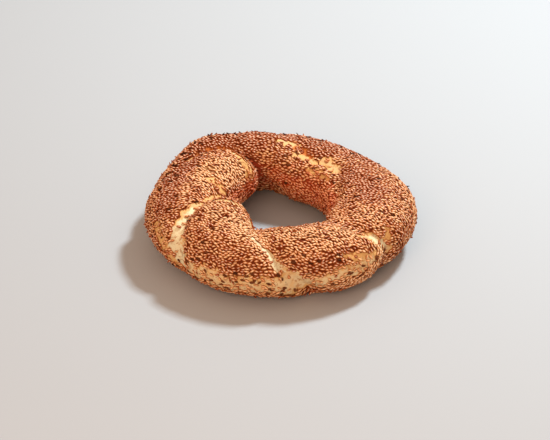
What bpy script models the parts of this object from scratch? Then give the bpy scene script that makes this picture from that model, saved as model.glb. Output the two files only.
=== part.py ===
"""Simit: a baked ring of two strands of dough twisted together, with deep folds where they cross.

The ring is one solid. It starts as a round tube, and every point of the tube is pushed to its place by
functions of two angles in degrees: along, the turn around the ring (0 at +X, 90 at +Y), and around, the
turn around the strand (0 outwards, 90 on top, 180 towards the hole, 270 underneath). Folds are curves in
those two angles. The dough dips into a sharp valley along each fold and swells between the folds.
"""

import math
from typing import NamedTuple

import bmesh
import bpy
import numpy as np
from mathutils import Matrix

# ---- Driving sizes, in metres ----
TUBE_REACH = 0.048  # from the middle of the hole to the middle of the plain tube
TUBE_RADIUS = 0.020
WIDEST_AT = 0.47  # the strand is widest at this share of its height
UNDERSIDE_SINK = 1.04  # the rounded underside would sink this much too low, so the table flattens it

# The strand's course, at equal turns around the ring from +X: how far its middle lies from the middle of
# the hole, half its width, and its height.
STATIONS = [
    (0.0483, 0.0247, 0.0355),
    (0.0468, 0.0220, 0.0340),
    (0.0486, 0.0215, 0.0355),
    (0.0502, 0.0235, 0.0365),
    (0.0475, 0.0258, 0.0355),
    (0.0462, 0.0228, 0.0350),
    (0.0454, 0.0203, 0.0350),
    (0.0462, 0.0215, 0.0350),
]

# ---- How finely the solid is faceted ----
STEPS_ALONG = 120
STEPS_AROUND = 40

# ---- The underside ----
UNDER_FROM, UNDER_TO = 205, 345  # the turns around the strand where grid columns straighten out again
FADE_OUTER = (-75, -25)  # the folds are gone at the first turn around the strand, and whole at the second
FADE_INNER = (272, 232)  # the same, towards the hole


class Fold(NamedTuple):
    """A valley along a line of (along, around) points, from the hole outwards.

    The dough dips by depth on the line. The dip reaches over the distances before and after, on the sides
    of the smaller and the larger turn around the ring. strength scales the depth at the line's inner end,
    its middle and its outer end. The grid's columns run along the folds that steer them.
    """

    line: list
    depth: float
    before: float
    after: float
    strength: tuple
    steers: bool


FOLDS = [
    # The back left, where one strand's rounded end rides up over the other. The deepest.
    Fold(
        line=[(101, 240), (104, 200), (107, 165), (111, 135), (118, 108), (127, 88), (138, 74), (150, 63),
              (160, 50), (168, 22), (173, -40)],
        depth=0.0076, before=0.014, after=0.008, strength=(1.9, 1.0, 0.38), steers=True,
    ),
    # The left.
    Fold(
        line=[(164, 235), (170, 185), (176, 150), (183, 127), (191, 112), (200, 96), (205, 77), (210, 58),
              (216, 34), (219, 8), (221, -30)],
        depth=0.0042, before=0.013, after=0.0062, strength=(1.0, 1.0, 0.6), steers=True,
    ),
    # The front.
    Fold(
        line=[(232, 235), (238, 185), (244, 140), (252, 103), (259, 78), (266, 50), (271, 28), (275, 5),
              (281, -22), (286, -48)],
        depth=0.0052, before=0.010, after=0.012, strength=(0.7, 1.0, 1.3), steers=True,
    ),
    # The front right.
    Fold(
        line=[(300, 235), (306, 180), (311, 130), (314, 95), (317, 66), (322, 49), (326, 35), (327, 15),
              (326, -8), (323, -40)],
        depth=0.0036, before=0.011, after=0.010, strength=(0.5, 1.0, 1.2), steers=True,
    ),
    # A short one that runs out of the hole's right corner.
    Fold(
        line=[(322, 235), (322, 180), (321, 150), (321, 120), (325, 104), (330, 94), (334, 78), (340, 68)],
        depth=0.0030, before=0.009, after=0.009, strength=(1.0, 1.0, 0.0), steers=False,
    ),
    # A long shallow one, from the same corner over the back right.
    Fold(
        line=[(322, 210), (332, 175), (350, 160), (10, 145), (24, 132), (34, 119), (46, 112), (60, 116),
              (73, 108), (82, 88), (90, 60), (98, 20), (102, -20)],
        depth=0.0026, before=0.010, after=0.010, strength=(0.8, 1.0, 0.8), steers=False,
    ),
]


class Swell(NamedTuple):
    """A rounded rise of the dough, or a hollow if its height is negative."""

    along: float
    around: float
    height: float
    spread_along: float
    spread_around: float


SWELLS = [
    Swell(138, 125, 0.0024, 22, 35),  # the rounded end over the hole, at the back left
    Swell(110, 232, -0.0120, 17, 30),  # the hollow under it
    Swell(130, 42, 0.0034, 12, 35),  # the strand that passes behind it
    Swell(157, 25, -0.0010, 10, 40),  # the flatter bank beside that
    Swell(216, 145, 0.0042, 20, 50),  # the rounded end at the front left of the hole
    Swell(202, 138, 0.0020, 11, 26),  # its high rim beside the fold
    Swell(234, 150, 0.0012, 12, 30),  # and over the hole
    Swell(245, -30, 0.0008, 14, 30),  # the lower front
    Swell(306, -20, 0.0016, 12, 30),  # the lower front right
    Swell(338, -10, -0.0012, 14, 40),  # the slimmer right
    Swell(62, 70, -0.0012, 26, 50),  # the slimmer back right
    Swell(30, 55, -0.0010, 16, 45),  # and the right end of the back
]

CRUST_COLOUR = (0.49, 0.20, 0.076, 1.0)
CRUST_ROUGHNESS = 0.6


def turn_between(start, end):
    """The turn from start to end by the short way, in degrees."""
    return (end - start + 180) % 360 - 180


def catmull_rom(a, b, c, d, t):
    """The smooth curve from b to c whose neighbours are a and d, at the share t of the way."""
    return b + t / 2 * (c - a + t * (2 * a - 5 * b + 4 * c - d + t * (3 * b - a - 3 * c + d)))


def smooth_line(knots, steps=12):
    """A smooth curve through a fold's points, as an array with many of them."""
    knots = np.array(knots, float)
    knots[:, 0] = np.unwrap(knots[:, 0], period=360)
    knots = np.vstack([2 * knots[0] - knots[1], knots, 2 * knots[-1] - knots[-2]])
    shares = np.arange(steps)[:, None] / steps
    spans = [catmull_rom(*knots[i : i + 4], shares) for i in range(len(knots) - 3)]
    return np.vstack([*spans, knots[-2]])


def strand_at(along):
    """The strand's reach, half width and height at these turns around the ring."""
    sizes = np.array(STATIONS)
    place = np.asarray(along) % 360 / 360 * len(sizes)
    index = np.floor(place).astype(int)
    near = (sizes[(index + shift) % len(sizes)] for shift in (-1, 0, 1, 2))
    return np.moveaxis(catmull_rom(*near, (place - index)[..., None]), -1, 0)


def plain_ring(along, around):
    """Points of the ring without its folds, and the directions its surface faces there."""
    turn, roll = np.radians(along), np.radians(around)
    reach, half_width, height = strand_at(along)
    half_height = height * np.where(np.sin(roll) > 0, 1 - WIDEST_AT, WIDEST_AT * UNDERSIDE_SINK)
    out = reach + half_width * np.cos(roll)
    up = height * WIDEST_AT + half_height * np.sin(roll)
    out_facing, up_facing = np.cos(roll) / half_width, np.sin(roll) / half_height
    place = np.stack([out * np.cos(turn), out * np.sin(turn), up], -1)
    facing = np.stack([out_facing * np.cos(turn), out_facing * np.sin(turn), up_facing], -1)
    return place, facing / np.linalg.norm(facing, axis=-1, keepdims=True)


def fold_dips(along, around, place):
    """How far the folds dip at each point of the plain ring."""
    dips = np.zeros(len(along))
    for fold in FOLDS:
        line = smooth_line(fold.line)
        course = np.gradient(line, axis=0)
        distances = np.linalg.norm(place[:, None] - plain_ring(*line.T)[0], axis=2)
        nearest = distances.argmin(axis=1)
        off_along = turn_between(line[nearest, 0], along)
        off_around = around - line[nearest, 1]
        is_after = off_along * course[nearest, 1] < off_around * course[nearest, 0]
        nearness = 1 - distances.min(axis=1) / np.where(is_after, fold.after, fold.before)
        strength = np.interp(nearest / (len(line) - 1), [0, 0.5, 1], fold.strength)
        dips = np.maximum(dips, fold.depth * strength * np.clip(nearness, 0, 1) ** 2)
    outer = np.interp(around, FADE_OUTER, (0, 1))
    inner = np.interp(-around, np.negative(FADE_INNER), (0, 1))
    return dips * outer * inner


def swell_heights(along, around):
    """How far the swellings lift each point."""
    heights = np.zeros(len(along))
    for swell in SWELLS:
        off_along = turn_between(swell.along, along) / swell.spread_along
        off_around = turn_between(swell.around, around) / swell.spread_around
        heights += swell.height * np.exp(-(off_along**2) - off_around**2)
    return heights


def slanted(line, around):
    """A fold's turn around the ring at each turn around the strand. It runs back below the underside."""
    rolled = np.where(around < UNDER_TO - 360, around + 360, around)
    start, end = np.interp([-UNDER_FROM, 360 - UNDER_TO], -line[:, 1], line[:, 0])
    share = np.clip((rolled - UNDER_FROM) / (UNDER_TO - UNDER_FROM), 0, 1)
    below = start + (end - start) * share**2 * (3 - 2 * share)
    return np.where(rolled > UNDER_FROM, below, np.interp(-rolled, -line[:, 1], line[:, 0]))


def along_folds(column, around):
    """The turn around the ring of each point of the tube, with its columns slanted along the folds."""
    lines = [smooth_line(fold.line) for fold in FOLDS if fold.steers]
    turns = [slanted(line, around) for line in lines]
    step = 360 / STEPS_ALONG
    homes = [round(line[len(line) // 2, 0] / step) * step for line in lines]
    along = np.zeros(len(column))
    for i, home in enumerate(homes):
        following = (i + 1) % len(homes)
        share = (column - home) % 360 / ((homes[following] - home) % 360)
        width = (turns[following] - turns[i]) % 360
        along = np.where(share < 1, turns[i] + width * share, along)
    return along


def spun_tube():
    """A plain tube that closes on itself: an upright circle spun about the vertical axis."""
    mesh = bmesh.new()
    bmesh.ops.create_circle(mesh, segments=STEPS_AROUND, radius=TUBE_RADIUS)
    bmesh.ops.rotate(mesh, verts=mesh.verts, matrix=Matrix.Rotation(math.radians(90), 3, "X"))
    bmesh.ops.translate(mesh, verts=mesh.verts, vec=(TUBE_REACH, 0, 0))
    bmesh.ops.spin(
        mesh,
        geom=mesh.verts[:] + mesh.edges[:],
        cent=(0, 0, 0),
        axis=(0, 0, 1),
        angle=math.tau,
        steps=STEPS_ALONG,
        use_merge=True,
    )
    bmesh.ops.recalc_face_normals(mesh, faces=mesh.faces)
    return mesh


def shape_dough(mesh):
    """Moves every point of the plain tube to its place on the folded ring, and centres the ring's box."""
    plain = np.array([vert.co for vert in mesh.verts])
    column = np.degrees(np.arctan2(plain[:, 1], plain[:, 0])) % 360
    around = np.degrees(np.arctan2(plain[:, 2], np.hypot(plain[:, 0], plain[:, 1]) - TUBE_REACH))
    around = (around + 90) % 360 - 90
    along = along_folds(column, around)
    place, facing = plain_ring(along, around)
    height = swell_heights(along, around) - fold_dips(along, around, place)
    place = place + facing * height[:, None]
    place[:, 2] = np.maximum(place[:, 2], 0)
    place[:, :2] -= (place[:, :2].min(axis=0) + place[:, :2].max(axis=0)) / 2
    for vert, spot in zip(mesh.verts, place):
        vert.co = spot


def crust_material():
    material = bpy.data.materials.new("seeded_crust")
    material.use_nodes = True
    surface = material.node_tree.nodes["Principled BSDF"]
    surface.inputs["Base Color"].default_value = CRUST_COLOUR
    surface.inputs["Roughness"].default_value = CRUST_ROUGHNESS
    surface.inputs["Metallic"].default_value = 0.0
    return material


def make_ring():
    """The whole ring as one object."""
    mesh = spun_tube()
    shape_dough(mesh)
    data = bpy.data.meshes.new("simit_ring")
    mesh.to_mesh(data)
    mesh.free()
    data.shade_smooth()
    data.materials.append(crust_material())
    ring = bpy.data.objects.new("simit_ring", data)
    bpy.context.scene.collection.objects.link(ring)
    return ring


for old in list(bpy.data.objects):
    bpy.data.objects.remove(old, do_unlink=True)
make_ring()
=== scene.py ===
# %% [markdown]
# # A simit
#
# A simit is a ring of bread. Two ropes of dough are twisted together and closed into a ring, the ring is
# dipped in thinned molasses, rolled in sesame seeds and baked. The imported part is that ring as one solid,
# whose surface reaches out to the tops of the seeds. This lesson dresses it in two layers: a fine skin of
# dough that lies just inside the solid, and thousands of seeds that fill the room between the two.

import math
from typing import NamedTuple

import bmesh
import bpy
import numpy as np
from mathutils import Matrix, Vector, noise
from mathutils.bvhtree import BVHTree
from mathutils.kdtree import KDTree


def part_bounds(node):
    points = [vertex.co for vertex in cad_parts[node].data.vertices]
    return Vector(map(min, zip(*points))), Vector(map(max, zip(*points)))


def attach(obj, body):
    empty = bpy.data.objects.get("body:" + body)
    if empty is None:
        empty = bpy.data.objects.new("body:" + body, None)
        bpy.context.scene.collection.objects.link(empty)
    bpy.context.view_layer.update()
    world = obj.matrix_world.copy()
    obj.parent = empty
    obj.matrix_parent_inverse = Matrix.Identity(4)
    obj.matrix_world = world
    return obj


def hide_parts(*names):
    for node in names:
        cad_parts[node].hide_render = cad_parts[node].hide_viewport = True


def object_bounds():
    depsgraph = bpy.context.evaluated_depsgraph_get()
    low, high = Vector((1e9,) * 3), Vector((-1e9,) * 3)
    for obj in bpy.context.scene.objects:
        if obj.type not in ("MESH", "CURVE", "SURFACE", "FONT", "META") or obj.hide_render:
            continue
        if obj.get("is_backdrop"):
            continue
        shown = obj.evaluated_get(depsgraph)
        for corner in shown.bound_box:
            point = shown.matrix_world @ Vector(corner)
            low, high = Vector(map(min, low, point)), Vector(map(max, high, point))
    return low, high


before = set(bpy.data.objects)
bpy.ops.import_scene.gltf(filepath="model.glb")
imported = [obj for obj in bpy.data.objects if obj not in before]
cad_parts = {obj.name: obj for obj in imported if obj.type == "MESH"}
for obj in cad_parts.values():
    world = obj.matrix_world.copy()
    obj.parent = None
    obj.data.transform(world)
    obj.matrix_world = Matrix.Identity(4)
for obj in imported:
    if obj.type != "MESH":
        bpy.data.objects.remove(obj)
part_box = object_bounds()
ring_low, ring_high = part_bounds("simit_ring")
ring_size = ring_high - ring_low
MM = 0.001
print("the ring is", " x ".join(f"{side / MM:.1f}" for side in ring_size), "mm")

# %% [markdown]
# ## Finding a place on the ring
#
# Folds and bald patches follow the twisted dough, so their places are easier to say with two turns than
# with x, y and z. "Along" is the turn around the ring, from 0 at the right by way of 90 at the back.
# "Around" is the turn around the strand, from 0 outwards by way of 90 on top and 180 towards the hole.
# Both could be copied from the part's own sizes. Here the strand's middle is measured on the solid, sector
# by sector, so that the places stay right if the ring is made fatter or slimmer.

# %% Measure the strand
HOLE_MIDDLE = np.array([0.0002, -0.0023])  # turns around the ring are counted about this point
SECTORS = 72
BELLY = 0.47  # the strand is widest at this share of its height


def points_of(mesh):
    """The places of a mesh's vertices, one row each."""
    flat = np.empty(len(mesh.vertices) * 3, np.float32)
    mesh.vertices.foreach_get("co", flat)
    return flat.reshape(-1, 3).astype(float)


def turn_along(points):
    """The turn around the ring of each point, in degrees."""
    out = points[:, :2] - HOLE_MIDDLE
    return np.degrees(np.arctan2(out[:, 1], out[:, 0])) % 360


def rolling_mean(values, reach=3):
    """Each value averaged with its neighbours, in a row that closes on itself."""
    return sum(np.roll(values, step) for step in range(-reach, reach + 1)) / (2 * reach + 1)


def measure_strand(points):
    """How far the strand's middle lies from the hole's middle, and how high, in each sector."""
    reach = np.linalg.norm(points[:, :2] - HOLE_MIDDLE, axis=1)
    sector = (turn_along(points) / 360 * SECTORS).astype(int) % SECTORS
    members = [sector == number for number in range(SECTORS)]
    middle = np.array([(reach[m].min() + reach[m].max()) / 2 for m in members])
    height = np.array([points[m, 2].max() * BELLY for m in members])
    return rolling_mean(middle), rolling_mean(height)


strand_reach, strand_height = measure_strand(points_of(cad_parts["simit_ring"].data))
sector_turns = (np.arange(SECTORS) + 0.5) * 360 / SECTORS


def strand_middle(along):
    """The strand's middle at each of these turns around the ring."""
    reach = np.interp(along, sector_turns, strand_reach, period=360)
    height = np.interp(along, sector_turns, strand_height, period=360)
    turn = np.radians(along)
    flat = HOLE_MIDDLE + np.stack([np.cos(turn), np.sin(turn)], -1) * reach[..., None]
    return np.concatenate([flat, height[..., None]], -1)


print(f"the strand runs {strand_reach.min() / MM:.1f} to {strand_reach.max() / MM:.1f} mm from the middle")

# %% [markdown]
# ## The skin of the dough
#
# Baked dough is smooth in the large and slightly lumpy in the small. The solid has flat facets a few
# millimetres wide, which is too coarse for that. Sculpting by hand would lose the part's shape, so a copy of
# the solid is smoothed instead: its loose triangles are merged and joined into squares, it is drawn in
# by the thickness of a layer of seeds, and a Subdivision Surface rounds it. The flat base hardly moves, as
# the bread still has to rest on it.

# %% Copy the solid and draw it in
SEED_ROOM = 1.0 * MM  # from the dough up to the solid's surface
BASE_LIFT = 0.2 * MM  # the base stands on pressed seeds this thick
BASE_BLEND = 4.0 * MM  # the height over which the base's own rule fades out
MERGE_GAP = 0.001 * MM
SQUARE_TILT = math.radians(60)  # triangles that meet at less than this are joined into a square
SQUARE_SKEW = math.radians(80)  # whose corners may be out of true by this
SMOOTHING_LEVELS = 2


def bake_modifiers(piece):
    """Turns what a piece's modifiers show into its own mesh."""
    graph = bpy.context.evaluated_depsgraph_get()
    finished = bpy.data.meshes.new_from_object(piece.evaluated_get(graph))
    piece.modifiers.clear()
    piece.data = finished
    finished.name = piece.name
    return piece


def new_piece(name, work):
    """A new object at the origin that holds this bmesh, shaded smooth."""
    mesh = bpy.data.meshes.new(name)
    work.to_mesh(mesh)
    work.free()
    mesh.shade_smooth()
    piece = bpy.data.objects.new(name, mesh)
    bpy.context.scene.collection.objects.link(piece)
    return piece


def draw_in(work):
    """Moves a shell inwards by the room that the seeds need, and keeps its base near the table."""
    for vert in work.verts:
        step = vert.normal * -SEED_ROOM
        freedom = min(1, vert.co.z / BASE_BLEND)
        step.z = step.z * freedom + BASE_LIFT * (1 - freedom)
        vert.co += step


def make_dough():
    """A finer copy of the solid, drawn in and rounded."""
    work = bmesh.new()
    work.from_mesh(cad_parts["simit_ring"].data)
    bmesh.ops.remove_doubles(work, verts=work.verts, dist=MERGE_GAP)
    bmesh.ops.join_triangles(
        work,
        faces=work.faces,
        angle_face_threshold=SQUARE_TILT,
        angle_shape_threshold=SQUARE_SKEW,
    )
    work.normal_update()
    draw_in(work)
    dough = new_piece("simit_dough", work)
    rounding = dough.modifiers.new("rounding", "SUBSURF")
    rounding.levels = SMOOTHING_LEVELS
    rounding.render_levels = SMOOTHING_LEVELS
    return bake_modifiers(dough)


dough = make_dough()
print(len(dough.data.vertices), "vertices in the dough's skin")

# %% [markdown]
# The lumps are real relief, because they show on the outline and move the seeds about. They could come
# from a Displace modifier with a cloud texture. A few lines with Blender's noise function do the same and
# say outright how wide and how deep each kind of lump is.

# %% Make the dough uneven
LUMPS = [  # how wide and how deep, widest first
    (16 * MM, 0.40 * MM),
    (5 * MM, 0.16 * MM),
    (1.8 * MM, 0.05 * MM),
]
SUNK_SHARE = 0.4  # the relief is sunk by this share of its highest lump, to stay inside the solid


def wave(points, width, shift):
    """Smooth noise from about -1 to 1 at each point, with swells about this wide."""
    move = Vector((shift, shift, shift))
    return np.array([noise.noise(Vector(point) / width + move) for point in points])


def facings_of(mesh):
    """The directions that a mesh's vertices face, one row each."""
    flat = np.empty(len(mesh.vertices) * 3, np.float32)
    mesh.vertices.foreach_get("normal", flat)
    return flat.reshape(-1, 3).astype(float)


def roughen(mesh):
    """Lifts and sinks a mesh's vertices by the lumps, but for its base, and returns the relief."""
    points = points_of(mesh)
    relief = sum(depth * wave(points, width, shift) for shift, (width, depth) in enumerate(LUMPS))
    relief -= SUNK_SHARE * relief.max()
    relief *= np.clip(points[:, 2] / BASE_BLEND, 0, 1)
    moved = points + facings_of(mesh) * relief[:, None]
    mesh.vertices.foreach_set("co", moved.astype(np.float32).ravel())
    mesh.update()
    return relief


dough_relief = roughen(dough.data)
dough_points = points_of(dough.data)
dough_tree = BVHTree.FromObject(dough, bpy.context.evaluated_depsgraph_get())
print(f"relief from {dough_relief.min() / MM:.2f} to {dough_relief.max() / MM:.2f} mm")

# %% [markdown]
# ## Where the dough is bare
#
# Seeds stick where the wet ropes were rolled. When the baker twists the ropes, the dough stretches at the
# folds and shows bare bands there, and seeds rub off low on the sides. Each bare place is written as a
# short line of points with a half width, so that one function can measure every point's distance from it.
# A painted mask would do too, but it would be a picture, and could not be read or changed as easily. Bands
# of the same kind say further on where the crust changes colour, where seeds are paler or browner, and where
# shade and bounce light are painted on.

# %% List the bare bands and patches


class Band(NamedTuple):
    """A stretch of the ring: (along, around, half width in mm) points, and how strongly it counts."""

    line: list
    strength: float


BANDS = [
    # The outer bank of the left fold, widest low down.
    Band([(196, 96, 1.3), (199, 80, 1.8), (203, 60, 2.6), (207, 45, 3.2), (211, 28, 4.0),
          (214, 15, 4.8), (218, 3, 4.6), (221, -8, 3.0)], 0.9),
    # The sharp lip of the front fold.
    Band([(251, 84, 0.7), (256, 74, 1.1), (260, 62, 1.7), (264, 46, 2.2), (267, 34, 2.5),
          (269, 22, 2.3)], 1.0),
    # The bank across that fold.
    Band([(270, 27, 1.4), (272, 15, 3.0), (275, 2, 4.6), (279, -10, 4.8), (285, -8, 4.2),
          (290, -6, 2.4)], 0.92),
    # The bank of the front right fold.
    Band([(316, 54, 1.3), (319, 47, 2.0), (322, 38, 2.6), (325, 24, 2.8), (327, 12, 2.8),
          (329, 2, 1.8)], 0.9),
    Band([(333, 42, 1.2), (331, 30, 2.0), (329, 18, 2.4), (329, 6, 2.2)], 0.6),
    Band([(302, 33, 1.6), (308, 24, 2.3), (313, 18, 2.5), (318, 15, 2.2)], 0.6),
    # Patches over the back.
    Band([(91, 98, 2.2), (87, 98, 3.0), (83, 98, 3.2), (79, 99, 2.4)], 0.9),
    Band([(78, 104, 1.6), (73, 108, 2.2), (68, 112, 1.6)], 0.6),
    Band([(79, 125, 1.6), (73, 122, 2.0), (66, 122, 2.2), (61, 128, 1.8)], 0.8),
    Band([(55, 117, 2.2), (50, 117, 3.0), (44, 119, 3.2), (38, 122, 2.0)], 0.9),
    Band([(61, 142, 1.8), (55, 142, 2.4), (48, 143, 2.4), (40, 142, 1.8)], 0.65),
    # The groove behind the rounded end at the back left.
    Band([(139, 61, 1.4), (134, 69, 2.2), (130, 76, 2.5), (126, 86, 2.4), (122, 96, 1.6)], 0.9),
    # The deep fold beside the left lobe's end, and the lobe's rim.
    Band([(121, 98, 0.8), (117, 112, 1.0), (113, 130, 1.3), (110, 146, 1.5), (108, 160, 1.5),
          (106, 175, 1.5)], 0.8),
    Band([(128, 116, 1.2), (123, 128, 1.7), (119, 142, 2.0), (116, 157, 1.7)], 0.42),
    # Thin places on the left lobe.
    Band([(150, 54, 1.3), (146, 50, 1.7), (141, 58, 1.6)], 0.6),
    Band([(167, 121, 2.4), (168, 128, 3.4), (169, 136, 3.8), (169, 145, 3.0)], 0.55),
    Band([(128, 128, 2.0), (126, 138, 3.0), (124, 147, 3.2), (122, 158, 2.6)], 0.55),
    Band([(160, 104, 4.0), (154, 118, 4.0)], 0.2),
    Band([(194, 108, 1.4), (188, 122, 1.8), (182, 138, 1.8), (176, 150, 1.4)], 0.7),
    Band([(203, 110, 1.4), (204, 123, 2.0), (208, 132, 2.2), (213, 140, 2.3), (220, 145, 2.5),
          (228, 149, 2.7), (236, 149, 2.5), (244, 138, 2.0), (250, 124, 1.5)], 0.84),
    # The lower sides.
    Band([(198, 15, 3.0), (204, 10, 3.6), (209, 0, 3.6), (216, -14, 3.6)], 0.55),
    Band([(228, -5, 4.5), (237, -8, 6.0), (246, -9, 6.0), (256, -6, 6.0), (266, -8, 6.5),
          (277, -15, 5.5)], 0.52),
    Band([(284, -12, 5.0), (292, 2, 3.6), (299, 6, 4.0), (308, 8, 4.0), (315, 12, 3.0)], 0.45),
    # Out of sight at the outer back and right.
    Band([(168, 30, 2.0), (172, 10, 3.2), (176, -15, 2.6)], 0.7),
    Band([(92, 55, 2.0), (97, 28, 3.0), (101, 0, 3.2), (104, -22, 2.2)], 0.75),
    Band([(352, -12, 4.0), (4, -16, 5.0), (16, -14, 4.0)], 0.45),
    Band([(58, -10, 4.5), (72, -14, 5.5), (84, -8, 4.0)], 0.45),
]

# %% Measure how far a point lies from a band
SAMPLES_PER_STEP = 10
BAND_END = 1.35  # a band ends this many half widths from its line
BAND_FADE = 0.7  # and takes this many to come in fully
BAND_REACH = 2  # points further off than this many half widths aren't measured
RAGGED_WIDTH = 3.2 * MM  # the edges of the bands wander in swells this wide
FINER = 2.5  # and in swells this many times narrower
FINER_SHARE = 0.8  # which are this much weaker
RAGGED_SHARE = 0.7  # both as a share of the half width
RAGGED_SHIFTS = (9, 5)  # where in the noise the two are read


def spot_on_dough(along, around):
    """The point of the dough's skin at these two turns, found by a ray from the strand's middle."""
    middle = strand_middle(np.array(along, float))
    turn, roll = math.radians(along), math.radians(around)
    course = Vector((math.cos(turn) * math.cos(roll), math.sin(turn) * math.cos(roll), math.sin(roll)))
    return np.array(dough_tree.ray_cast(Vector(middle), course)[0])


def laid_line(line):
    """A band's line on the dough: rows of x, y, z and half width, close together."""
    knots = np.array(line, float)
    knots[:, 0] = np.unwrap(knots[:, 0], period=360)
    places = np.linspace(0, len(knots) - 1, (len(knots) - 1) * SAMPLES_PER_STEP + 1)
    rows = np.stack([np.interp(places, range(len(knots)), column) for column in knots.T], -1)
    return np.array([[*spot_on_dough(along, around), half * MM] for along, around, half in rows])


def smooth_share(values):
    """0 up to 0 and 1 from 1, with a soft start and end."""
    share = np.clip(values, 0, 1)
    return share * share * (3 - 2 * share)


def mask_of(points, bands):
    """How strongly the bands cover each point, from 0 outside them all."""
    mask = np.zeros(len(points))
    broad = wave(points, RAGGED_WIDTH, RAGGED_SHIFTS[0])
    fine = wave(points, RAGGED_WIDTH / FINER, RAGGED_SHIFTS[1])
    ragged = RAGGED_SHARE * (broad + FINER_SHARE * fine)
    for band in bands:
        line = laid_line(band.line)
        widest = BAND_REACH * line[:, 3].max()
        inside = (points > line[:, :3].min(0) - widest) & (points < line[:, :3].max(0) + widest)
        near = np.flatnonzero(inside.all(1))
        gaps = np.linalg.norm(points[near, None] - line[:, :3], axis=2) / line[:, 3]
        share = smooth_share((BAND_END - gaps.min(1) - ragged[near]) / BAND_FADE)
        mask[near] = np.maximum(mask[near], band.strength * share)
    return mask


dough_bare = mask_of(dough_points, BANDS)
print(f"{(dough_bare > 0.5).mean():.0%} of the skin is more bare than seeded")

# %% [markdown]
# ## Shader sums in plain Python
#
# A procedural material is a web of nodes, and clicking or scripting each link hides what is worked out. A
# small class that holds one output socket, with Python's signs overloaded, lets the colours below be read
# as sums. One method makes every other node: its settings go first, since they can change its sockets.

# %% A class for shader values


class Shade:
    """One output of a shader node. Sums and products with it add Math nodes."""

    def __init__(self, tree, socket):
        self.tree = tree
        self.socket = socket

    def node(self, kind, settings=None, sockets=None, output=0):
        """Adds a node of this kind to the tree, and returns one of its outputs."""
        made = self.tree.nodes.new(kind)
        for name, value in (settings or {}).items():
            setattr(made, name, value)
        for name, value in (sockets or {}).items():
            if isinstance(value, Shade):
                self.tree.links.new(value.socket, made.inputs[name])
            else:
                made.inputs[name].default_value = value
        return Shade(self.tree, made.outputs[output])

    def sum(self, operation, first, second):
        return self.node("ShaderNodeMath", {"operation": operation}, {0: first, 1: second})

    def __add__(self, other):
        return self.sum("ADD", self, other)

    def __radd__(self, other):
        return self.sum("ADD", other, self)

    def __sub__(self, other):
        return self.sum("SUBTRACT", self, other)

    def __rsub__(self, other):
        return self.sum("SUBTRACT", other, self)

    def __mul__(self, other):
        return self.sum("MULTIPLY", self, other)

    def __rmul__(self, other):
        return self.sum("MULTIPLY", other, self)

    def step(self, start, end):
        """0 where this is below start and 1 above end, with a soft rise between."""
        return self.node(
            "ShaderNodeMapRange",
            {"interpolation_type": "SMOOTHSTEP"},
            {"Value": self, "From Min": start, "From Max": end},
        )

    def mix(self, low, high):
        """The colour low where this is 0, and high where it is 1."""
        return self.node("ShaderNodeMix", {"data_type": "RGBA"}, {0: self, 6: low, 7: high}, output=2)

    def attribute(self, name):
        """A number that the piece's mesh holds under this name."""
        return self.node("ShaderNodeAttribute", {"attribute_name": name}, output="Fac")

    def stretch(self, shares):
        """A place with its x, y and z multiplied by these shares."""
        return self.node("ShaderNodeVectorMath", {"operation": "MULTIPLY"}, {0: self, 1: shares})

    def cloud(self, width, detail=2.0):
        """Noise from 0 to 1 at this place, with blots about this wide."""
        return self.node(
            "ShaderNodeTexNoise", {}, {"Vector": self, "Scale": 1 / width, "Detail": detail}
        )

    def wander(self, noise, reach):
        """This mask with its borders shifted about by a noise from 0 to 1."""
        return self + reach * (noise - 0.5)


def new_finish(name, roughness, specular):
    """A new material, its main shader, and where a surface point is on the object."""
    material = bpy.data.materials.new(name)
    material.use_nodes = True
    tree = material.node_tree
    surface = tree.nodes["Principled BSDF"]
    surface.inputs["Roughness"].default_value = roughness
    surface.inputs["Specular IOR Level"].default_value = specular
    place = Shade(tree, None).node("ShaderNodeTexCoord", output="Object")
    return material, surface, place


def feed(value, surface, name):
    """Links a shader value to one of the main shader's sockets."""
    value.tree.links.new(value.socket, surface.inputs[name])


# %% [markdown]
# ## The crust
#
# Molasses and heat turn the outer skin brown. Between the seeds it is painted darkest, its brown deepened as
# painted shade of the gaps under the seeds. It is golden where they are thin, and pale where the folds opened
# in the oven and fresh dough came up. The mask of bare places is stored on the mesh as a number for each
# vertex, and so are four masks more. An image painted over an unfolded skin could hold them too, but a number
# on a vertex needs no unfolding and follows the vertex wherever it goes.

# %% Store the masks on the dough
GROOVES = [
    # Molasses gathers here and bakes orange.
    Band([(142, 57, 2.0), (137, 64, 3.0), (131, 74, 3.4), (126, 86, 3.2), (120, 98, 2.6)], 1.0),
    Band([(79, 103, 2.4), (73, 109, 2.6), (67, 113, 2.0)], 0.8),
]
FRESH = [
    # The palest, freshly opened dough.
    Band([(201, 75, 1.2), (205, 58, 2.2), (209, 38, 3.4), (212, 20, 4.6), (216, 4, 4.6),
          (221, -9, 3.0)], 1.0),
    Band([(251, 84, 1.4), (257, 72, 1.8), (262, 55, 2.2), (267, 34, 2.6), (269, 22, 2.6)], 1.0),
    Band([(322, 38, 2.2), (327, 14, 2.6)], 0.8),
    Band([(55, 117, 2.6), (44, 119, 3.0)], 0.35),
    Band([(203, 110, 2.0), (208, 132, 2.6), (220, 145, 2.8), (236, 149, 2.6), (250, 124, 2.0)], 0.45),
    Band([(224, -8, 5.0), (240, -10, 6.0), (256, -10, 6.0), (272, -8, 6.0), (288, -6, 5.0), (300, 4, 4.0),
          (314, 10, 4.0)], 0.65),
]
FOLD_SHADE_BANDS = [
    # Painted shade: the bottoms of the deep folds are painted almost black.
    Band([(121, 98, 0.8), (117, 112, 1.1), (113, 130, 1.4), (110, 146, 1.7), (108, 160, 2.0),
          (106, 175, 2.2), (103, 195, 2.4)], 1.0),
]
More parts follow.
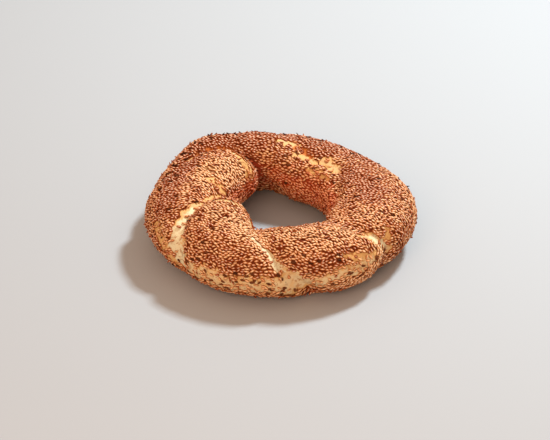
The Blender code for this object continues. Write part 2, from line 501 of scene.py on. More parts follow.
BOUNCE_BANDS = [
    # Painted bounce light: the wall of the hole is painted redder, as if warmed by light thrown from wall to
    # wall.
    Band([(160, 174, 5), (145, 180, 6), (128, 184, 7), (110, 186, 8), (90, 184, 9), (70, 182, 9),
          (50, 178, 9), (30, 174, 8), (10, 168, 6), (358, 165, 5)], 1.0),
]


def store(mesh, name, values):
    """Keeps one number for each vertex on a mesh."""
    mesh.attributes.new(name, "FLOAT", "POINT").data.foreach_set("value", values.astype(np.float32))


store(dough.data, "bare", dough_bare)
for label, bands in (("groove", GROOVES), ("fresh", FRESH), ("sooty", FOLD_SHADE_BANDS), ("sheltered", BOUNCE_BANDS)):
    mask = mask_of(dough_points, bands)
    store(dough.data, label, mask)
    print(f"{label}: {(mask > 0).mean():.0%} of the skin")

# %% [markdown]
# The shader lays one colour over the other, each where its own mask says, so the order of the lines matters:
# what comes later covers what came before. Noise breaks every border up, because nothing on a bread ends in
# a clean line. A bump map adds the grain and the fine level streaks that are too small to model.

# %% Paint the crust
# The crust's brown between the seeds, deepened as painted shade of the gaps under them.
BROWN_AND_GAP_SHADE = (0.17, 0.028, 0.004, 1)
GOLDEN = (0.74, 0.43, 0.16, 1)
PALE = (0.70, 0.46, 0.22, 1)
PALEST = (0.78, 0.69, 0.44, 1)
MOLASSES = (0.52, 0.14, 0.028, 1)
FRECKLE = (0.40, 0.125, 0.030, 1)
# Painted shade in the bottoms of the deep folds.
FOLD_SHADE_COLOUR = (0.11, 0.019, 0.006, 1)
SCORCHED = (0.20, 0.060, 0.016, 1)
# Painted bounce light, laid over the wall of the hole.
BOUNCE_RED = (0.90, 0.12, 0.05, 1)
BASE_BROWN = (0.36, 0.15, 0.045, 1)
FRECKLE_SHARE = 0.75
BOUNCE_SHARE = 0.3
BASE_BROWN_SHARE = 0.85
MASK_WEIGHT = 0.9  # of the masks of fresh dough and of grooves
WANDER = {"bare": 0.35, "pale": 0.4, "fresh": 0.5, "groove": 0.2, "sooty": 0.3}  # how far noise shifts each
EDGES = {  # between which values of its mask each colour comes in
    "golden": (0.08, 0.42),
    "pale": (0.6, 1.0),
    "palest": (0.3, 0.9),
    "molasses": (0.1, 0.8),
    "freckle": (0.52, 0.66),
    "freckled field": (0.35, 0.6),
    "shaded fold": (0.2, 0.8),
    "scorched": (0.60, 0.74),
    "base": (0.4 * MM, 2.5 * MM),  # this one is a height
}
BLOT_WIDTH = 14 * MM
MOTTLE_WIDTH = 3.5 * MM
FRECKLE_WIDTH = 1.5 * MM
FRECKLED_FIELD_WIDTH = 5 * MM
GRAIN_WIDTH = 0.7 * MM
STREAK_WIDTH = 0.9 * MM
STREAK_SHARES = (1 / 3, 1 / 3, 1)  # a streak is three times as long as it is high
FINE_DETAIL = 3.0
GRAIN_DEPTH = 0.4  # as a share of the mottle's
STREAK_DEPTH = 0.8
BUMP_STRENGTH = 0.85
BUMP_DEPTH = 0.35 * MM
CRUST_ROUGHNESS = 0.5
CRUST_SHINE = 0.06


def crust_colour(place, mottle):
    """The crust's browns, laid one over the other."""
    blots = place.cloud(BLOT_WIDTH)
    bare = place.attribute("bare").wander(mottle, WANDER["bare"])
    fresh = (place.attribute("fresh") * MASK_WEIGHT).wander(mottle, WANDER["fresh"])
    groove = (place.attribute("groove") * MASK_WEIGHT).wander(mottle, WANDER["groove"])
    sooty = place.attribute("sooty").wander(mottle, WANDER["sooty"])
    field = place.cloud(FRECKLED_FIELD_WIDTH).step(*EDGES["freckled field"])
    freckles = place.cloud(FRECKLE_WIDTH).step(*EDGES["freckle"]) * field
    height = place.node("ShaderNodeSeparateXYZ", {}, {0: place}, output="Z")
    colour = bare.step(*EDGES["golden"]).mix(BROWN_AND_GAP_SHADE, GOLDEN)
    colour = bare.wander(blots, WANDER["pale"]).step(*EDGES["pale"]).mix(colour, PALE)
    colour = fresh.step(*EDGES["palest"]).mix(colour, PALEST)
    colour = groove.step(*EDGES["molasses"]).mix(colour, MOLASSES)
    colour = (freckles * FRECKLE_SHARE).mix(colour, FRECKLE)
    # Painted shade in the deep folds.
    colour = sooty.step(*EDGES["shaded fold"]).mix(colour, FOLD_SHADE_COLOUR)
    colour = (blots * 0.5 + mottle * 0.5).step(*EDGES["scorched"]).mix(colour, SCORCHED)
    # Painted bounce light on the wall of the hole.
    colour = (place.attribute("sheltered") * BOUNCE_SHARE).mix(colour, BOUNCE_RED)
    return ((1 - height.step(*EDGES["base"])) * BASE_BROWN_SHARE).mix(colour, BASE_BROWN)


def crust_finish():
    """The browns, and over them the bump of mottle, grain and streaks."""
    material, surface, place = new_finish("crust", CRUST_ROUGHNESS, CRUST_SHINE)
    mottle = place.cloud(MOTTLE_WIDTH, FINE_DETAIL)
    feed(crust_colour(place, mottle), surface, "Base Color")
    grain = place.cloud(GRAIN_WIDTH, FINE_DETAIL)
    streaks = place.stretch(STREAK_SHARES).cloud(STREAK_WIDTH, FINE_DETAIL)
    relief = grain * GRAIN_DEPTH + mottle + streaks * STREAK_DEPTH
    bump = place.node(
        "ShaderNodeBump",
        {},
        {"Strength": BUMP_STRENGTH, "Distance": BUMP_DEPTH, "Height": relief},
    )
    feed(bump, surface, "Normal")
    return material


dough.data.materials.clear()
dough.data.materials.append(crust_finish())
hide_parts("simit_ring")
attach(dough, "root")
print(len(dough.data.materials[0].node_tree.nodes), "nodes paint the crust")

# %% [markdown]
# ## One sesame seed
#
# A sesame seed is a flat drop about 3 mm long, blunt at one end and pointed at the other. A sphere with few
# faces is squeezed into it: its poles become the two ends. It is repeated thousands of times, so it has only
# 32 faces, and smooth shading hides them. Each seed also carries how near a point is to its rim, for a
# painted highlight in its middle and painted shade at its edge, and a small map of its two sides.

# %% Model the seed
SEED_LENGTH = 2.85 * MM
SEED_WIDTH = 1.65 * MM
SEED_THICKNESS = 1.0 * MM
SEED_SIDES = 8
SEED_RINGS = 4
TIP_TAPER = 0.36  # the pointed end is this much slimmer than a plain oval
BLUNT_SWELL = 0.12  # and the blunt end this much fuller
FLAT_SIDE = 0.8  # the lower side bulges this much as far as the upper one
RIDGE = 0.6  # below 1, the painted highlight in a seed's middle runs on towards its two ends
SORT_WAY = Vector((1, 10, 100))  # no two faces of the sphere lie equally far this way
BAKE_MAP = "OFBake"
UPPER_SIDE_MIDDLE = 0.25  # where each side's middle lies across the map
LOWER_SIDE_MIDDLE = 0.75
MAP_MARGIN = 0.04


def shape_seed(work):
    """Squeezes a sphere of radius 1 whose poles point along X into a drop that lies flat."""
    for vert in work.verts:
        slimmer = 1 - TIP_TAPER * (vert.co.x + 1) / 2 + BLUNT_SWELL * (1 - vert.co.x) / 2
        dome = 1.0 if vert.co.z > 0 else FLAT_SIDE
        vert.co.x *= SEED_LENGTH / 2
        vert.co.y *= SEED_WIDTH / 2 * slimmer
        vert.co.z *= SEED_THICKNESS / 2 * slimmer * dome


def map_seed(work):
    """Lays the seed's upper side in the left half of its square, and its lower side in the right half."""
    layer = work.loops.layers.uv.new(BAKE_MAP)
    work.normal_update()
    for face in work.faces:
        shift = UPPER_SIDE_MIDDLE if face.normal.z > 0 else LOWER_SIDE_MIDDLE
        for loop in face.loops:
            across = loop.vert.co.y / SEED_WIDTH * (0.5 - MAP_MARGIN)
            along = loop.vert.co.x / SEED_LENGTH * (1 - MAP_MARGIN)
            loop[layer].uv = (shift + across, 0.5 + along)


def make_seed():
    """The pattern that every seed is a copy of."""
    work = bmesh.new()
    bmesh.ops.create_uvsphere(work, u_segments=SEED_SIDES, v_segments=SEED_RINGS, radius=1)
    bmesh.ops.rotate(work, verts=work.verts, matrix=Matrix.Rotation(math.radians(90), 3, "Y"))
    # Blender lists the sphere's faces in another order each run. Sorted, every run gives the same mesh.
    work.faces.sort(key=lambda face: face.calc_center_median().dot(SORT_WAY))
    shape_seed(work)
    map_seed(work)
    seed = new_piece("seed_pattern", work)
    points = points_of(seed.data)
    rim = np.hypot(points[:, 0] / SEED_LENGTH * RIDGE, points[:, 1] / SEED_WIDTH) * 2
    store(seed.data, "rim", np.clip(rim, 0, 1))
    seed.hide_render = True
    return seed


seed_pattern = make_seed()
print(len(seed_pattern.data.polygons), "faces in a seed")

# %% [markdown]
# ## Where the seeds lie
#
# Seeds that stick to wet dough lie flat, side by side, and hardly ever more than one deep. Blender's
# Distribute Points on Faces keeps points a set distance apart, but in all directions alike. A seed is longer
# than it is wide, so here spots are thrown at random one by one, each with the direction its seed would
# point in, and a spot is kept if its neighbours are outside its own oval. Neighbours share their direction
# roughly, as they do where a palm has rolled them, and that packs them in wavy rows.
#
# Every spot brings its own random numbers along for what comes later, so that a small change to the dough
# moves only a few seeds. Its luck, spread evenly from 0 to 1, decides yes or no. Its sway, mostly near 0,
# says how far its seed is off the usual.

# %% Throw the spots
SEED_CHANCE = 11  # the number that starts every random draw
THROWS = 230000
COURSE = Vector((-0.90, 0.43, 0))  # most seeds lie roughly across the light
COURSE_WIDTH = 13 * MM  # directions change over about this distance
COURSE_DRIFT = 0.55
COURSE_SHIFTS = (21, 34, 55)  # where in the noise the drift along X, Y and Z is read
COURSE_JITTER = math.radians(19)  # each seed's own turn off the course
LUCK_STAYS, LUCK_BLACK, LUCK_STANDING = range(3)  # what each column of luck decides
LUCK_COLUMNS = 3
SWAY_TOAST, SWAY_TIP, SWAY_ROLL = range(3)  # what each column of sway is for
SWAY_SIZE = slice(3, 6)  # along the seed, across it and through it
SWAY_LIFT = 6
SWAY_COLUMNS = 7
TINY = 1e-9  # keeps a row of zeros from being divided by zero
chance = np.random.default_rng(SEED_CHANCE)


def unit(rows):
    """Each row made one unit long."""
    return rows / np.maximum(np.linalg.norm(rows, axis=1, keepdims=True), TINY)


def throw_spots(mesh):
    """Random spots all over a mesh, and the facing there."""
    mesh.calc_loop_triangles()
    corners = np.empty(len(mesh.loop_triangles) * 3, np.int32)
    mesh.loop_triangles.foreach_get("vertices", corners)
    corners = corners.reshape(-1, 3)
    points = points_of(mesh)[corners]
    area = np.linalg.norm(np.cross(points[:, 1] - points[:, 0], points[:, 2] - points[:, 0]), axis=1)
    chosen = chance.choice(len(corners), THROWS, p=area / area.sum())
    weight = chance.dirichlet((1, 1, 1), THROWS)
    facings = facings_of(mesh)[corners[chosen]]
    place = (points[chosen] * weight[..., None]).sum(1)
    return place, unit((facings * weight[..., None]).sum(1))


def lie_of(place, facing):
    """The direction each seed points in: a slowly turning course, plus a little of its own."""
    drift = np.stack([wave(place, COURSE_WIDTH, shift) for shift in COURSE_SHIFTS], -1)
    course = np.array(COURSE) + COURSE_DRIFT * drift
    course = unit(course - facing * (course * facing).sum(1, keepdims=True))
    turn = chance.normal(0, COURSE_JITTER, len(place))[:, None]
    way = chance.choice((-1.0, 1.0), len(place))[:, None]
    return way * (course * np.cos(turn) + np.cross(facing, course) * np.sin(turn))


place, facing = throw_spots(dough.data)
lie = lie_of(place, facing)
luck = chance.random((THROWS, LUCK_COLUMNS))
sway = chance.normal(0, 1, (THROWS, SWAY_COLUMNS))
print(len(place), "spots thrown")

# %% Keep the spots that lie apart
OVAL_LONG = 1.84 * MM  # how far apart seeds lie, end to end
OVAL_WIDE = 1.03 * MM  # and side by side


def keep_apart(place, facing, lie):
    """The spots that are kept, thrown one after the other, as their numbers."""
    long_way = (lie / OVAL_LONG).tolist()
    wide_way = (np.cross(facing, lie) / OVAL_WIDE).tolist()
    high_way = (facing / OVAL_LONG).tolist()
    cells = np.floor(place / OVAL_LONG).astype(int).tolist()
    shifts = [(a, b, c) for a in (-1, 0, 1) for b in (-1, 0, 1) for c in (-1, 0, 1)]
    taken = {}
    kept = []
    for number, (spot, cell) in enumerate(zip(place.tolist(), cells)):
        around = (taken.get((cell[0] + a, cell[1] + b, cell[2] + c), ()) for a, b, c in shifts)
        ways = (long_way[number], wide_way[number], high_way[number])
        if all(oval_gap(spot, other, ways) >= 1 for group in around for other in group):
            taken.setdefault(tuple(cell), []).append(spot)
            kept.append(number)
    return np.array(kept)


def oval_gap(spot, other, ways):
    """The squared distance between two spots, in ovals."""
    x, y, z = other[0] - spot[0], other[1] - spot[1], other[2] - spot[2]
    return sum((x * way[0] + y * way[1] + z * way[2]) ** 2 for way in ways)


kept = keep_apart(place, facing, lie)
place, facing, lie, luck, sway = (rows[kept] for rows in (place, facing, lie, luck, sway))
print(len(place), "spots lie apart")

# %% [markdown]
# Spots thrown at random leave uneven gaps. A few rounds of gentle pushing even them out: each spot moves
# away from neighbours that are nearer than they need to be, and is set back on the dough.

# %% Even the spots out
EVEN_ROUNDS = 4
NEIGHBOURS = 7
EVEN_GAP = 1.24  # the distance that spots push each other to, in ovals
EVEN_PUSH = 0.22  # the share of the missing distance that a spot moves in one round
NEAREST_GAP = 0.2  # spots nearer than this count as this far apart, so that none is flung away


def even_out(place, facing, lie):
    """Pushes crowded spots apart, and turns each with the dough it comes to lie on."""
    for _ in range(EVEN_ROUNDS):
        tree = KDTree(len(place))
        for number, spot in enumerate(place):
            tree.insert(spot, number)
        tree.balance()
        near = np.array([[found[1] for found in tree.find_n(spot, NEIGHBOURS)[1:]] for spot in place])
        apart = place[:, None] - place[near]
        long_way = (apart * lie[:, None]).sum(2) / OVAL_LONG
        wide_way = (apart * np.cross(facing, lie)[:, None]).sum(2) / OVAL_WIDE
        gap = np.maximum(np.hypot(long_way, wide_way), NEAREST_GAP)
        push = np.maximum(EVEN_GAP / gap - 1, 0) * EVEN_PUSH
        place = place + (apart * push[..., None]).sum(1)
        found = [dough_tree.find_nearest(spot) for spot in place]
        place = np.array([hit[0] for hit in found])
        facing = np.array([hit[1] for hit in found])
        lie = unit(lie - facing * (lie * facing).sum(1, keepdims=True))
    return place, facing, lie


place, facing, lie = even_out(place, facing, lie)
bare = mask_of(place, BANDS)
print(f"{(bare > 0).mean():.0%} of the spots lie on bare or thinly seeded dough")

# %% [markdown]
# The spots are then thinned: none on bare dough, fewer low on the sides, and few under the base, where the
# baking stone rubs them off.

# %% Thin the spots
LOW_SIDE = (2 * MM, 9 * MM)  # seeds grow fewer between these heights
LOW_SHARE = 0.72
BASE_SHARE = 0.22
BASE_FACING = -0.8  # dough whose facing has a Z below this, and lies low, is base


def thin_out(place, facing, bare):
    """Whether a seed stays, for each spot."""
    height = np.interp(place[:, 2], LOW_SIDE, (LOW_SHARE, 1))
    base = (facing[:, 2] < BASE_FACING) & (place[:, 2] < LOW_SIDE[0])
    return luck[:, LUCK_STAYS] < (1 - bare) * height * np.where(base, BASE_SHARE, 1)


stays = thin_out(place, facing, bare)
place, facing, lie, bare, luck, sway = (rows[stays] for rows in (place, facing, lie, bare, luck, sway))
print(len(place), "seeds stay")

# %% [markdown]
# Now the seeds are sorted by tone. Bands say where seeds are paler and where browner: mostly as the oven
# toasted them, but on the lobe tops the paler tone is partly painted light where they face the lamp, and in
# the deep fold the browner tone is painted shade. Each seed also differs a little from its neighbours. A few
# are burnt almost black, above all low at the front. In a strip over the back more are painted almost black,
# and so are those that stand up steeply there: painted shade on seeds seen against the light. Elsewhere seeds
# that stand up steeply are painted browner, as shade. One piece with a colour for each seed would do too, but
# pieces sorted by colour stay small enough to handle.

# %% List where seeds are paler, browner and black
PALER_BANDS = [
    # The lobes at the left and front are paler on top, partly as painted light where they face the lamp, and
    # so is the low front.
    Band([(222, 88, 5), (230, 108, 6), (240, 101, 7), (250, 88, 7), (258, 76, 6)], 0.9),
    Band([(170, 108, 5), (159, 120, 7), (150, 128, 8), (142, 136, 7), (136, 143, 6)], 0.8),
    Band([(264, 95, 6), (276, 92, 8), (290, 90, 8), (300, 75, 7), (306, 60, 5)], 0.3),
    Band([(222, -5, 5), (234, -12, 6), (246, -12, 6), (258, -12, 6), (270, -14, 6), (282, -14, 6),
          (296, 0, 5), (310, 4, 5), (322, 8, 5)], 0.6),
    Band([(196, 15, 5), (205, 15, 5)], 0.3),
]
BROWNER_BANDS = [
    # The back and the walls of the hole are the brownest.
    Band([(165, 60, 9), (140, 62, 9), (115, 75, 9), (95, 80, 12), (75, 75, 12), (55, 60, 10),
          (35, 45, 9)], 0.9),
    Band([(30, 112, 7), (18, 105, 9), (6, 100, 9), (352, 92, 8)], 0.75),
    Band([(176, 158, 3), (160, 165, 4), (147, 168, 5), (132, 174, 5), (122, 180, 5)], 0.3),
    # Browner still in the deep fold beside the left lobe's end, as painted shade.
    Band([(117, 112, 3), (112, 140, 4), (107, 165, 4)], 1.3),
    Band([(195, 25, 4), (187, 45, 6), (174, 55, 7)], 0.7),
    Band([(240, 25, 5), (250, 22, 5)], 0.15),
    Band([(282, 25, 5), (294, 28, 5), (304, 32, 4)], 0.35),
]
# A strip over the back and both its sides, where more seeds are painted almost black: painted shade on seeds
# seen against the light.
SHADED_RIM = Band([(170, 14, 3.2), (160, 27, 3.2), (150, 37, 3.2), (140, 45, 3.5), (115, 54, 3.5),
                  (90, 57, 3.5), (60, 53, 3.5), (30, 37, 3.5), (14, 21, 3.2)], 0.12)
BURNT_SPOTS = [  # single burnt seeds that catch the eye
    (198, 86), (83, 175), (28, 143), (10, 74), (356, 39), (308, -4), (288, 30), (249, 14), (249, 1),
    (242, -10), (256, 14), (260, 6), (264, -8), (59, 139), (84, 145), (205, 7), (318, 13),
]
print(len(PALER_BANDS) + len(BROWNER_BANDS) + 1, "bands and", len(BURNT_SPOTS), "single seeds")

# %% Sort the seeds by tone
STANDING_SHARE = 0.06  # seeds that stuck on steeply tipped
STANDING_ROOM = 2.0 * MM  # none stands up nearer than this to the side of the solid's box
STANDING_SHADE = 0.5  # their tone is made this much browner, as painted shade on their steep sides
BURNT_SHARE = 0.012
BURNT_LOW_SHARE = 0.2  # where the lower sides are thinly seeded
THINLY_SEEDED = 0.15  # dough at least this bare
LOW_HEIGHT = 20 * MM
RIM_START = 0.05  # standing seeds are painted almost black, as shade, where the strip over the back is stronger than this
TOAST_MIDDLE = 0.45  # a seed that nothing speaks for or against
PALER_WEIGHT = 0.5
BROWNER_WEIGHT = 0.45
TOAST_DRIFT = 0.15  # neighbours drift lighter and darker together
TOAST_DRIFT_WIDTH = 9 * MM
TOAST_DRIFT_SHIFT = 3  # where in the noise the drift is read
TOAST_SPREAD = 0.13  # and every seed differs by itself
TOAST_SHARES = (0.33, 0.67)  # where brown seeds give way to golden ones, and these to light ones


def pick_black_seeds(place, bare):
    """Whether each seed is black: a few burnt anywhere, more low down, more in the strip over the back as
    painted shade, and the listed ones.
    """
    low = (bare > THINLY_SEEDED) & (place[:, 2] < LOW_HEIGHT)
    share = np.where(low, BURNT_LOW_SHARE, BURNT_SHARE) + shaded_rim
    black_seeds = luck[:, LUCK_BLACK] < share
    for along, around in BURNT_SPOTS:
        black_seeds[np.linalg.norm(place - spot_on_dough(along, around), axis=1).argmin()] = True
    return black_seeds


def seed_tone_of(place):
    """Each seed's tone, mostly from 0 for brown to 1 for light, with the painted light and shade of the bands
    and of standing seeds in it.
    """
    tone = PALER_WEIGHT * mask_of(place, PALER_BANDS) - BROWNER_WEIGHT * mask_of(place, BROWNER_BANDS)
    drift = TOAST_DRIFT * wave(place, TOAST_DRIFT_WIDTH, TOAST_DRIFT_SHIFT)
    toast = TOAST_MIDDLE + tone + drift + TOAST_SPREAD * sway[:, SWAY_TOAST]
    return toast - STANDING_SHADE * standing


room = np.minimum(np.array(ring_high) - place, place - np.array(ring_low)).min(1)
standing = (luck[:, LUCK_STANDING] < STANDING_SHARE) & (room > STANDING_ROOM)
shaded_rim = mask_of(place, [SHADED_RIM])
# Standing seeds in the strip over the back are painted black as shade.
black_seeds = pick_black_seeds(place, bare) | (standing & (shaded_rim > RIM_START))
toast = seed_tone_of(place)
browner, lighter = np.quantile(toast, TOAST_SHARES)
kinds = {
    "sesame_brown": ~black_seeds & (toast < browner),
    "sesame_golden": ~black_seeds & (toast >= browner) & (toast < lighter),
    "sesame_light": ~black_seeds & (toast >= lighter),
    "sesame_burnt": black_seeds,
}
print({kind: int(members.sum()) for kind, members in kinds.items()})

# %% [markdown]
# ## Growing the seeds
#
# Seeds are tipped a little, so that they overlap like shingles and cast the fine shadows that make a simit
# look crisp. A cloud of lone points holds all that a seed needs: where it is, how it is turned, how big it
# is, and three numbers for its colour: its tone, its painted highlight and its painted bounce light.

# %% Stand each seed on its spot
TIP_UP = math.radians(12)  # the pointed end lifts off by this
TIP_SPREAD = math.radians(9)
ROLL_SPREAD = math.radians(13)
SIZE_SPREAD = 0.09
SIZE_LIMIT = 0.2
LIFT_SHARE = 0.4  # a seed's middle lies this share of its thickness above its flat side
SINK = 0.04 * MM  # how deep a seed's flat side lies in the dough
LIFT_SPREAD = 0.11 * MM
LIFT_LIMITS = (-0.15 * MM, 0.25 * MM)
STANDING_TIP = math.radians(28)  # on top of the usual tip
STANDING_LIFT = 0.35 * MM
HIGHLIGHT_SHARE = 0.84  # how strongly a painted highlight brightens the middle of a seed
HIGHLIGHT_LOSS = 0.5  # and how much less among bare dough
HIGHLIGHT_LOSS_RATE = 2  # the loss is whole where half the seeds are missing


def seed_cloud(name, chosen):
    """A mesh of lone points, one for each chosen seed, that holds all that it needs."""
    cloud = bpy.data.meshes.new(name)
    cloud.vertices.add(len(chosen))
    own = sway[chosen]
    tips = TIP_UP + TIP_SPREAD * own[:, SWAY_TIP] + standing[chosen] * STANDING_TIP
    rolls = ROLL_SPREAD * own[:, SWAY_ROLL]
    sizes = 1 + (SIZE_SPREAD * own[:, SWAY_SIZE]).clip(-SIZE_LIMIT, SIZE_LIMIT)
    lifts = SEED_THICKNESS * LIFT_SHARE - SINK + (LIFT_SPREAD * own[:, SWAY_LIFT]).clip(*LIFT_LIMITS)
    lifts += standing[chosen] * STANDING_LIFT
    turns = []
    for number, tip, roll in zip(chosen, tips, rolls):
        across = np.cross(facing[number], lie[number])
        stance = Matrix((lie[number], across, facing[number])).transposed()
        tilt = Matrix.Rotation(-tip, 3, "Y") @ Matrix.Rotation(roll, 3, "X")
        turns.append((stance @ tilt).to_euler())
    centres = place[chosen] + facing[chosen] * lifts[:, None]
    cloud.vertices.foreach_set("co", centres.astype(np.float32).ravel())
    for label, rows in (("turn", np.array(turns)), ("size", sizes)):
        holder = cloud.attributes.new(label, "FLOAT_VECTOR", "POINT")
        holder.data.foreach_set("vector", rows.astype(np.float32).ravel())
    store(cloud, "toast", toast[chosen])
    # How strong each seed's painted highlight is: weaker where the dough is bare.
    store(cloud, "crest", HIGHLIGHT_SHARE - HIGHLIGHT_LOSS * smooth_share(bare[chosen] * HIGHLIGHT_LOSS_RATE))
    # Painted bounce light for seeds on the wall of the hole.
    store(cloud, "sheltered", mask_of(place[chosen], BOUNCE_BANDS))
    return cloud


print(f"the seeds tip up by {math.degrees(TIP_UP):.0f} degrees, give or take {math.degrees(TIP_SPREAD):.0f}")

# %% [markdown]
# Thousands of copies made with operators one by one would be slow, and loose instances would be lost when
# the model is exported. Geometry Nodes does it in one step: Instance on Points sets the pattern on each
# point of the cloud, and Realize Instances makes real mesh of it.

# %% Make real mesh of the seeds


def seeding_nodes(pattern):
    """Geometry Nodes that set the pattern on every point and make real mesh of it."""
    group = bpy.data.node_groups.new("seeding", "GeometryNodeTree")
    group.interface.new_socket("Geometry", in_out="INPUT", socket_type="NodeSocketGeometry")
    group.interface.new_socket("Geometry", in_out="OUTPUT", socket_type="NodeSocketGeometry")
    start = group.nodes.new("NodeGroupInput")
    end = group.nodes.new("NodeGroupOutput")
    source = group.nodes.new("GeometryNodeObjectInfo")
    source.inputs["Object"].default_value = pattern
    setting = group.nodes.new("GeometryNodeInstanceOnPoints")
    realize = group.nodes.new("GeometryNodeRealizeInstances")
    for label, socket in (("turn", "Rotation"), ("size", "Scale")):
        reader = group.nodes.new("GeometryNodeInputNamedAttribute")
        reader.data_type = "FLOAT_VECTOR"
        reader.inputs["Name"].default_value = label
        group.links.new(reader.outputs["Attribute"], setting.inputs[socket])
    group.links.new(start.outputs[0], setting.inputs["Points"])
    group.links.new(source.outputs["Geometry"], setting.inputs["Instance"])
    group.links.new(setting.outputs[0], realize.inputs[0])
    group.links.new(realize.outputs[0], end.inputs[0])
    return group


def spread_maps(mesh, count):
    """Gives each seed its own square of the bake map."""
    layer = mesh.uv_layers[BAKE_MAP]
    flat = np.empty(len(mesh.loops) * 2, np.float32)
    layer.uv.foreach_get("vector", flat)
    side = math.ceil(math.sqrt(count))
    numbers = np.arange(count)
    squares = np.stack([numbers % side, numbers // side], -1)[:, None]
    spread = (flat.reshape(count, -1, 2) + squares) / side
    layer.uv.foreach_set("vector", spread.astype(np.float32).ravel())


def press_flat(mesh):
    """Presses what would reach through the table, or past the solid's box, flat against it."""
    points = np.clip(points_of(mesh), ring_low, ring_high)
    mesh.vertices.foreach_set("co", points.astype(np.float32).ravel())
    mesh.update()


def grow_seeds(name, chosen, finish):
    """Makes one piece of all the seeds of a kind."""
    piece = bpy.data.objects.new(name, seed_cloud(name, chosen))
    bpy.context.scene.collection.objects.link(piece)
    growing = piece.modifiers.new("seeding", "NODES")
    growing.node_group = seeding
    bake_modifiers(piece)
    spread_maps(piece.data, len(chosen))
    press_flat(piece.data)
    piece.data.shade_smooth()
    piece.data.materials.clear()
    piece.data.materials.append(finish)
    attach(piece, "root")
    print(f"{name}: {len(chosen)} seeds, {len(piece.data.polygons)} faces")


seeding = seeding_nodes(seed_pattern)
print(len(seeding.nodes), "nodes grow the seeds")

# %% [markdown]
# ## The seeds' hulls
#
# A toasted hull is satin, and no two seeds are toasted alike. Each gets a painted highlight in its middle and
# painted shade at its rim and tips. A material for each seed would be far too many. Instead the shader reads
# the numbers that every seed brought along: its tone, how strong its painted highlight is, and whether it
# lies on the wall of the hole, which gets painted bounce light. The rim's number came with the pattern, and a
# fine noise adds the specks of the hull.

# %% Paint and grow the seeds
HULLS = {  # the darkest and lightest hull of each kind, and its slot
    "sesame_brown": ((0.40, 0.092, 0.024, 1), (0.64, 0.235, 0.078, 1), "sesame_toasted"),
    "sesame_golden": ((0.58, 0.18, 0.048, 1), (0.77, 0.32, 0.110, 1), "sesame_toasted"),
    "sesame_light": ((0.69, 0.275, 0.086, 1), (0.88, 0.47, 0.205, 1), "sesame_light"),
    # Burnt seeds, and seeds painted black as shade along the back.
    "sesame_burnt": ((0.055, 0.016, 0.006, 1), (0.180, 0.052, 0.016, 1), "sesame_dark"),
}
# Painted shade: the rim and tips of each seed are darkened towards this brown.
PAINTED_RIM_SHADE = (0.24, 0.040, 0.006, 1)
# Painted highlight: the middle of each seed is lightened towards this cream.
HIGHLIGHT_PAINT = (1.0, 0.84, 0.63, 1)
HIGHLIGHT_EDGE = (0.0, 0.5)  # the painted highlight fades out between these shares of the way to the rim
PAINTED_SHADE_EDGE = (0.28, 0.9)  # and the painted shade at the rim comes in between these
PAINTED_SHADE_SHARE = 0.95
SPECK_WIDTH = 0.5 * MM
SPECK_DEPTH = 0.5  # how far the specks shift the toast
HULL_ROUGHNESS = 0.45
HULL_SHINE = 0.045


def hull_finish(name, darkest, lightest):
    """The hull of one kind of seed. The black kind, burnt seeds and seeds painted black as shade, is dark all
    over.
    """
    material, surface, place = new_finish(name, HULL_ROUGHNESS, HULL_SHINE)
    speckled_tone = place.attribute("toast").wander(place.cloud(SPECK_WIDTH), SPECK_DEPTH)
    colour = speckled_tone.step(0.0, 1.0).mix(darkest, lightest)
    if name != "sesame_burnt":
        rim = place.attribute("rim")
        # A painted highlight lightens the middle of the seed.
        crest = (1 - rim.step(*HIGHLIGHT_EDGE)) * place.attribute("crest")
        colour = crest.mix(colour, HIGHLIGHT_PAINT)
        # Painted bounce light on the wall of the hole.
        colour = (place.attribute("sheltered") * BOUNCE_SHARE).mix(colour, BOUNCE_RED)
        # Painted shade darkens the rim and tips.
        colour = (rim.step(*PAINTED_SHADE_EDGE) * PAINTED_SHADE_SHARE).mix(colour, PAINTED_RIM_SHADE)
    feed(colour, surface, "Base Color")
    return material


for kind, (darkest, lightest, slot) in HULLS.items():
    grow_seeds(kind, np.flatnonzero(kinds[kind]), hull_finish(kind, darkest, lightest))
bpy.data.objects.remove(seed_pattern)

# %% [markdown]
# ## Floor, lights and camera
#
# Bread looks crisp in light from behind: every seed gets a bright side and a small shadow. One lamp high at
# the back right does that. A broad warm lamp at the front and a warm sky fill the shadows, so that they stay
# soft. A ready-made picture of a studio around the scene would light it too, but can't be moved lamp by lamp.

# %% Set up the studio
FLOOR_HALF = 4.0
FLOOR_COLOUR = (0.425, 0.45, 0.475, 1)
FLOOR_CLOUD_WIDTH = 0.5
FLOOR_CLOUD_SHADE = 0.985  # the floor's clouds are darker by hardly anything
FLOOR_ROUGHNESS = 0.7
FLOOR_SHINE = 0.3
KEY_WAY = Vector((0.41, 0.46, 0.78)).normalized()
LAMP_DISTANCE = 1.0
KEY_SIZE = 0.14
KEY_POWER = 12.9
KEY_COLOUR = (0.86, 0.96, 1.0)
FILL_WAY = Vector((-0.25, -0.80, 0.52)).normalized()
FILL_SIZE = 0.6
FILL_POWER = 4.4
FILL_COLOUR = (1.0, 0.63, 0.42)
SKY_COLOUR = (1.0, 0.75, 0.58, 1)
SKY_STRENGTH = 0.66
AIM = Vector((-0.00307, 0.01825, 0))  # the camera looks at this point of the table
CAMERA_DISTANCE = 1.5
CAMERA_RISE = math.radians(33.2)
CAMERA_LENS = 180.98  # long, so that near and far parts keep their proportions
CAMERA_RANGE = 20  # metres


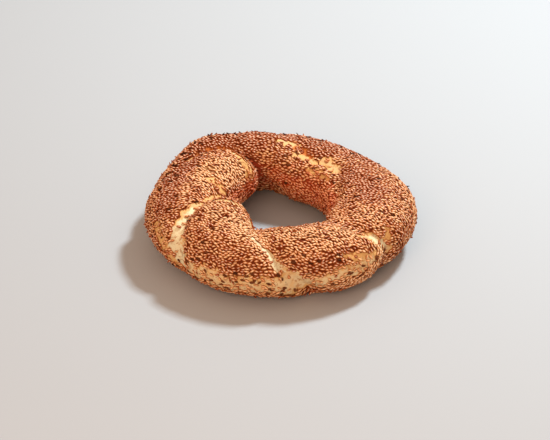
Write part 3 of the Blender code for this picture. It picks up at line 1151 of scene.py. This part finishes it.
def floor_finish():
    material, surface, place = new_finish("pale_floor", FLOOR_ROUGHNESS, FLOOR_SHINE)
    darker = tuple(FLOOR_CLOUD_SHADE * part for part in FLOOR_COLOUR)
    feed(place.cloud(FLOOR_CLOUD_WIDTH).mix(FLOOR_COLOUR, darker), surface, "Base Color")
    return material


def make_floor():
    work = bmesh.new()
    bmesh.ops.create_grid(work, x_segments=1, y_segments=1, size=FLOOR_HALF)
    floor = new_piece("floor", work)
    floor.data.materials.append(floor_finish())
    floor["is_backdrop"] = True


def make_lamp(name, way, size, power, colour):
    """A square lamp a metre out along a direction, facing the middle."""
    data = bpy.data.lights.new(name, "AREA")
    data.size = size
    data.energy = power
    data.color = colour
    lamp = bpy.data.objects.new(name, data)
    lamp.location = way * LAMP_DISTANCE
    lamp.rotation_euler = way.to_track_quat("Z", "Y").to_euler()
    bpy.context.scene.collection.objects.link(lamp)


def make_sky():
    world = bpy.data.worlds.new("sky")
    world.use_nodes = True
    light = world.node_tree.nodes["Background"]
    light.inputs["Color"].default_value = SKY_COLOUR
    light.inputs["Strength"].default_value = SKY_STRENGTH
    bpy.context.scene.world = world


def make_camera():
    data = bpy.data.cameras.new("camera")
    data.lens = CAMERA_LENS
    data.clip_end = CAMERA_RANGE
    camera = bpy.data.objects.new("camera", data)
    back = Vector((0, -math.cos(CAMERA_RISE), math.sin(CAMERA_RISE)))
    camera.location = AIM + back * CAMERA_DISTANCE
    camera.rotation_euler = back.to_track_quat("Z", "Y").to_euler()
    bpy.context.scene.collection.objects.link(camera)
    bpy.context.scene.camera = camera


make_floor()
make_lamp("key", KEY_WAY, KEY_SIZE, KEY_POWER, KEY_COLOUR)
make_lamp("fill", FILL_WAY, FILL_SIZE, FILL_POWER, FILL_COLOUR)
make_sky()
make_camera()
bpy.context.scene.view_settings.view_transform = "Standard"
print(f"the camera looks down at {math.degrees(CAMERA_RISE):.1f} degrees from {CAMERA_DISTANCE} m away")

# %% [markdown]
# ## The size
#
# The dressed ring has to stay inside the solid's box. Both boxes are printed side by side.

# %% Print both boxes and finish
visual_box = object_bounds()
sizes = {
    "cad": [list(corner) for corner in part_box],
    "visual": [list(corner) for corner in visual_box],
}
for name, box in sizes.items():
    print(name, [[round(value / MM, 2) for value in corner] for corner in box])
